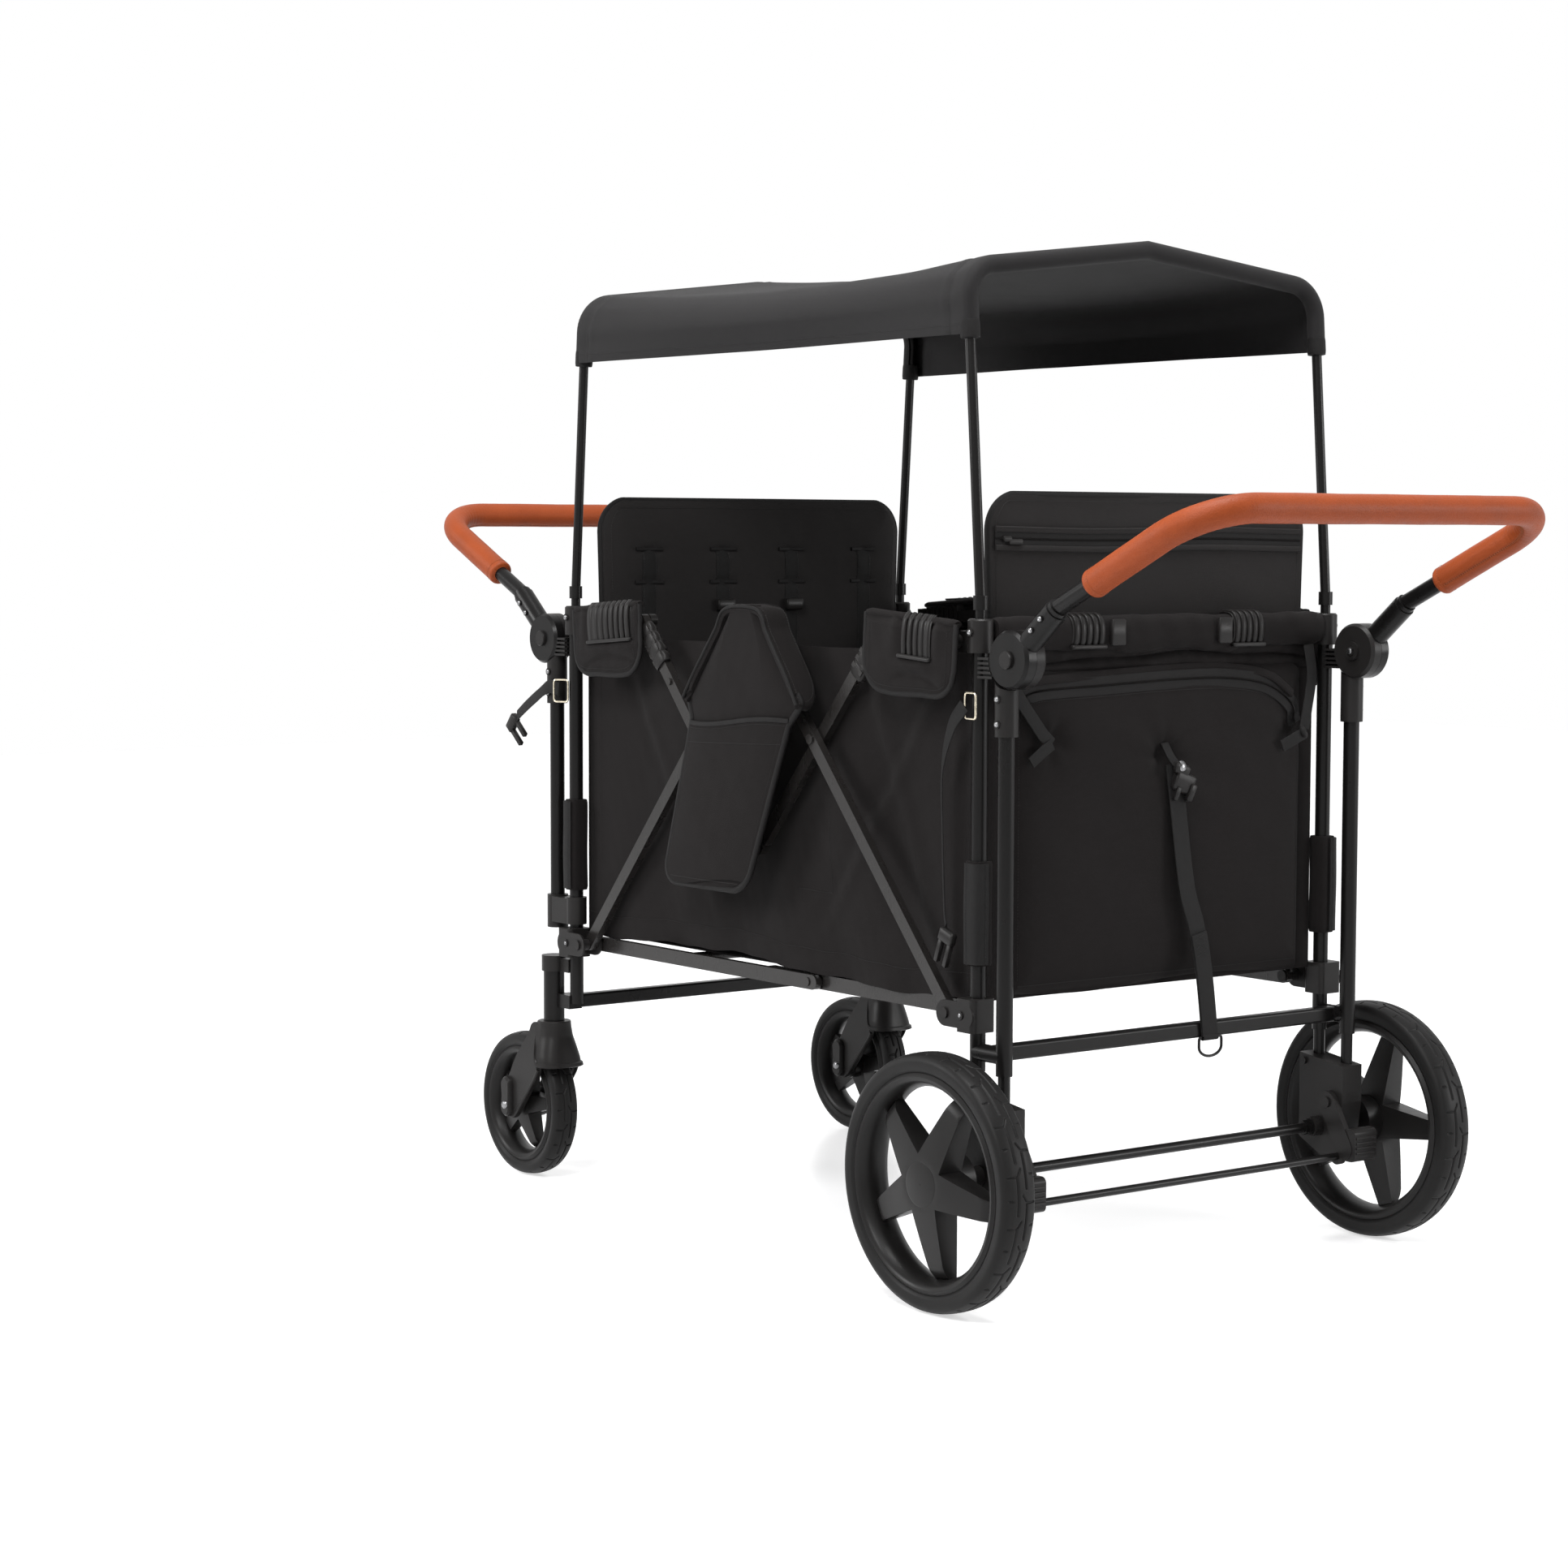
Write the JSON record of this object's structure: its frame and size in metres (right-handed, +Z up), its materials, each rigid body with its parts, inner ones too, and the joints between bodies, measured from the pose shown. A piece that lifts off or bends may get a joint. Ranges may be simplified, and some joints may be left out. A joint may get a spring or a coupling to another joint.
{
  "type": "stroller wagon",
  "caption": "Folding stroller wagon with scissor side frames, facing seats, fabric walls, canopy on bows, leather-grip push handles, spoked rear wheels and swivel casters.",
  "frame": {"origin": "on the floor under the middle of the object box", "axes": "+X to the right of someone pushing at the rear handle, +Y forwards to the casters, +Z up"},
  "size_m": [0.74, 1.5736, 1.2078],
  "materials": {
    "frame_black": "satin",
    "bar_black": "satin",
    "plastic_black": "matte",
    "axle_steel": "satin",
    "cloth_black": "matte",
    "seat_cloth": "matte",
    "floor_cloth": "matte",
    "leather_tan": "satin",
    "rim_black": "matte",
    "tyre_black": "matte",
    "webbing_black": "matte"
  },
  "bodies": {
    "rear_frame": {"rear_frame": "frame_black", "rear_top_brackets": "plastic_black", "rear_low_brackets": "plastic_black", "rear_hinge_bases": "plastic_black", "rear_axle": "axle_steel", "wheel_housings": "plastic_black", "rear_rim_grips": "plastic_black", "rear_panel": "cloth_black", "rear_bag": "cloth_black", "rear_seat_back": "seat_cloth", "side_left": "cloth_black", "side_right": "cloth_black", "tow_strap": "webbing_black"},
    "front_frame": {"front_frame": "frame_black", "front_top_brackets": "plastic_black", "front_low_brackets": "plastic_black", "front_hinge_bases": "plastic_black", "front_rim_grips": "plastic_black", "front_panel": "cloth_black", "front_seat_back": "seat_cloth"},
    "seat_rear": {"rear_seat": "seat_cloth"},
    "seat_front": {"front_seat": "seat_cloth"},
    "scissor_rear": {"scissor_bars_rear": "bar_black"},
    "scissor_front": {"scissor_bars_front": "bar_black"},
    "brace_rear": {"braces_rear": "bar_black"},
    "brace_front": {"braces_front": "bar_black"},
    "link_rear": {"top_links_rear": "plastic_black", "flaps_rear": "cloth_black"},
    "link_front": {"top_links_front": "plastic_black", "flaps_front": "cloth_black"},
    "floor_half_rear": {"floor_rails_rear": "bar_black", "floor_rear": "floor_cloth", "floor_middle": "floor_cloth"},
    "floor_half_front": {"floor_rails_front": "bar_black", "floor_front": "floor_cloth"},
    "pouches": {"pouch_left": "cloth_black", "pouch_right": "cloth_black"},
    "rear_handle": {"rear_handle": "frame_black", "rear_grip": "leather_tan"},
    "front_handle": {"front_handle": "frame_black", "front_grip": "leather_tan"},
    "button_rear_left": {"button_rear_left": "plastic_black"},
    "button_rear_right": {"button_rear_right": "plastic_black"},
    "button_front_left": {"button_front_left": "plastic_black"},
    "button_front_right": {"button_front_right": "plastic_black"},
    "wheel_left": {"rear_rim_left": "rim_black", "rear_tyre_left": "tyre_black"},
    "wheel_right": {"rear_rim_right": "rim_black", "rear_tyre_right": "tyre_black"},
    "fork_left": {"fork_left": "plastic_black"},
    "fork_right": {"fork_right": "plastic_black"},
    "caster_left": {"caster_rim_left": "rim_black", "caster_tyre_left": "tyre_black"},
    "caster_right": {"caster_rim_right": "rim_black", "caster_tyre_right": "tyre_black"},
    "brake": {"brake_pedals": "plastic_black", "brake_rod": "frame_black"},
    "bow_rear": {"bow_rear": "frame_black", "canopy": "cloth_black"},
    "bow_front": {"bow_front": "frame_black"}
  },
  "joints": [
    {"name": "fold", "type": "slide", "parent": "rear_frame", "child": "front_frame", "axis": [0, -1, 0], "range_m": [0, 0.528], "deforming": ["side_left", "side_right", "floor_middle", "canopy"]},
    {"name": "scissor_rear_fold", "type": "hinge", "parent": "rear_frame", "child": "scissor_rear", "pos_m": [0, -0.38, 0.326], "axis": [1, 0, 0], "range_deg": [0, 29.43]},
    {"name": "scissor_front_fold", "type": "hinge", "parent": "front_frame", "child": "scissor_front", "pos_m": [0, 0.38, 0.326], "axis": [-1, 0, 0], "range_deg": [0, 29.43]},
    {"name": "brace_rear_fold", "type": "hinge", "parent": "scissor_rear", "child": "brace_rear", "pos_m": [0, -0.122, 0.62338], "axis": [-1, 0, 0], "range_deg": [0, 58.83]},
    {"name": "brace_front_fold", "type": "hinge", "parent": "scissor_front", "child": "brace_front", "pos_m": [0, 0.122, 0.62338], "axis": [1, 0, 0], "range_deg": [0, 58.83]},
    {"name": "link_rear_fold", "type": "hinge", "parent": "rear_frame", "child": "link_rear", "pos_m": [0, -0.384, 0.7466], "axis": [1, 0, 0], "range_deg": [0, 67.05]},
    {"name": "link_front_fold", "type": "hinge", "parent": "front_frame", "child": "link_front", "pos_m": [0, 0.384, 0.7466], "axis": [-1, 0, 0], "range_deg": [0, 67.05]},
    {"name": "rail_rear_fold", "type": "hinge", "parent": "rear_frame", "child": "floor_half_rear", "pos_m": [0, -0.38, 0.326], "axis": [1, 0, 0], "range_deg": [0, 72.25]},
    {"name": "rail_front_fold", "type": "hinge", "parent": "front_frame", "child": "floor_half_front", "pos_m": [0, 0.38, 0.326], "axis": [-1, 0, 0], "range_deg": [0, 72.25]},
    {"name": "seat_rear_fold", "type": "hinge", "parent": "rear_frame", "child": "seat_rear", "pos_m": [0, -0.3766, 0.512], "axis": [1, 0, 0], "range_deg": [0, 84.02]},
    {"name": "seat_front_fold", "type": "hinge", "parent": "front_frame", "child": "seat_front", "pos_m": [0, 0.3766, 0.512], "axis": [-1, 0, 0], "range_deg": [0, 84.02]},
    {"name": "pouch_level", "type": "hinge", "parent": "scissor_rear", "child": "pouches", "pos_m": [0, 0, 0.764], "axis": [-1, 0, 0], "range_deg": [0, 29.43]},
    {"name": "rear_handle_tilt", "type": "hinge", "parent": "rear_frame", "child": "rear_handle", "pos_m": [0, -0.476, 0.728], "axis": [1, 0, 0], "range_deg": [-60, 90]},
    {"name": "front_handle_tilt", "type": "hinge", "parent": "front_frame", "child": "front_handle", "pos_m": [0, 0.476, 0.728], "axis": [-1, 0, 0], "range_deg": [-60, 90]},
    {"name": "button_rear_left_push", "type": "slide", "parent": "rear_handle", "child": "button_rear_left", "axis": [1, 0, 0], "range_m": [0, 0.0032], "stiffness_N_per_m": 900},
    {"name": "button_rear_right_push", "type": "slide", "parent": "rear_handle", "child": "button_rear_right", "axis": [-1, 0, 0], "range_m": [0, 0.0032], "stiffness_N_per_m": 900},
    {"name": "button_front_left_push", "type": "slide", "parent": "front_handle", "child": "button_front_left", "axis": [1, 0, 0], "range_m": [0, 0.0032], "stiffness_N_per_m": 900},
    {"name": "button_front_right_push", "type": "slide", "parent": "front_handle", "child": "button_front_right", "axis": [-1, 0, 0], "range_m": [0, 0.0032], "stiffness_N_per_m": 900},
    {"name": "wheel_left_spin", "type": "hinge", "parent": "rear_frame", "child": "wheel_left", "pos_m": [-0.347, -0.432, 0.146], "axis": [1, 0, 0], "continuous": true},
    {"name": "wheel_right_spin", "type": "hinge", "parent": "rear_frame", "child": "wheel_right", "pos_m": [0.347, -0.432, 0.146], "axis": [1, 0, 0], "continuous": true},
    {"name": "swivel_left", "type": "hinge", "parent": "front_frame", "child": "fork_left", "pos_m": [-0.283, 0.456, 0.2], "axis": [0, 0, 1], "continuous": true},
    {"name": "caster_left_spin", "type": "hinge", "parent": "fork_left", "child": "caster_left", "pos_m": [-0.283, 0.518, 0.097], "axis": [1, 0, 0], "continuous": true},
    {"name": "swivel_right", "type": "hinge", "parent": "front_frame", "child": "fork_right", "pos_m": [0.283, 0.456, 0.2], "axis": [0, 0, 1], "continuous": true},
    {"name": "caster_right_spin", "type": "hinge", "parent": "fork_right", "child": "caster_right", "pos_m": [0.283, 0.518, 0.097], "axis": [1, 0, 0], "continuous": true},
    {"name": "brake_press", "type": "hinge", "parent": "rear_frame", "child": "brake", "pos_m": [0, -0.454, 0.179], "axis": [1, 0, 0], "range_deg": [0, 12]},
    {"name": "canopy_lift", "type": "slide", "parent": "rear_frame", "child": "bow_rear", "axis": [0, 0, 1], "range_m": [0, 0.12]},
    {"name": "canopy_fold", "type": "slide", "parent": "bow_rear", "child": "bow_front", "axis": [0, -1, 0], "range_m": [0, 0.528]}
  ],
  "couplings": [
    {"joint": "scissor_rear_fold", "follows": "fold", "rad_per_m": 0.97198},
    {"joint": "scissor_front_fold", "follows": "fold", "rad_per_m": 0.97198},
    {"joint": "brace_rear_fold", "follows": "fold", "rad_per_m": 1.944},
    {"joint": "brace_front_fold", "follows": "fold", "rad_per_m": 1.944},
    {"joint": "link_rear_fold", "follows": "fold", "rad_per_m": 2.2157},
    {"joint": "link_front_fold", "follows": "fold", "rad_per_m": 2.2157},
    {"joint": "rail_rear_fold", "follows": "fold", "rad_per_m": 2.3875},
    {"joint": "rail_front_fold", "follows": "fold", "rad_per_m": 2.3875},
    {"joint": "seat_rear_fold", "follows": "fold", "rad_per_m": 2.7767},
    {"joint": "seat_front_fold", "follows": "fold", "rad_per_m": 2.7767},
    {"joint": "pouch_level", "follows": "fold", "rad_per_m": 0.97198},
    {"joint": "canopy_fold", "follows": "fold", "ratio": 1}
  ]
}
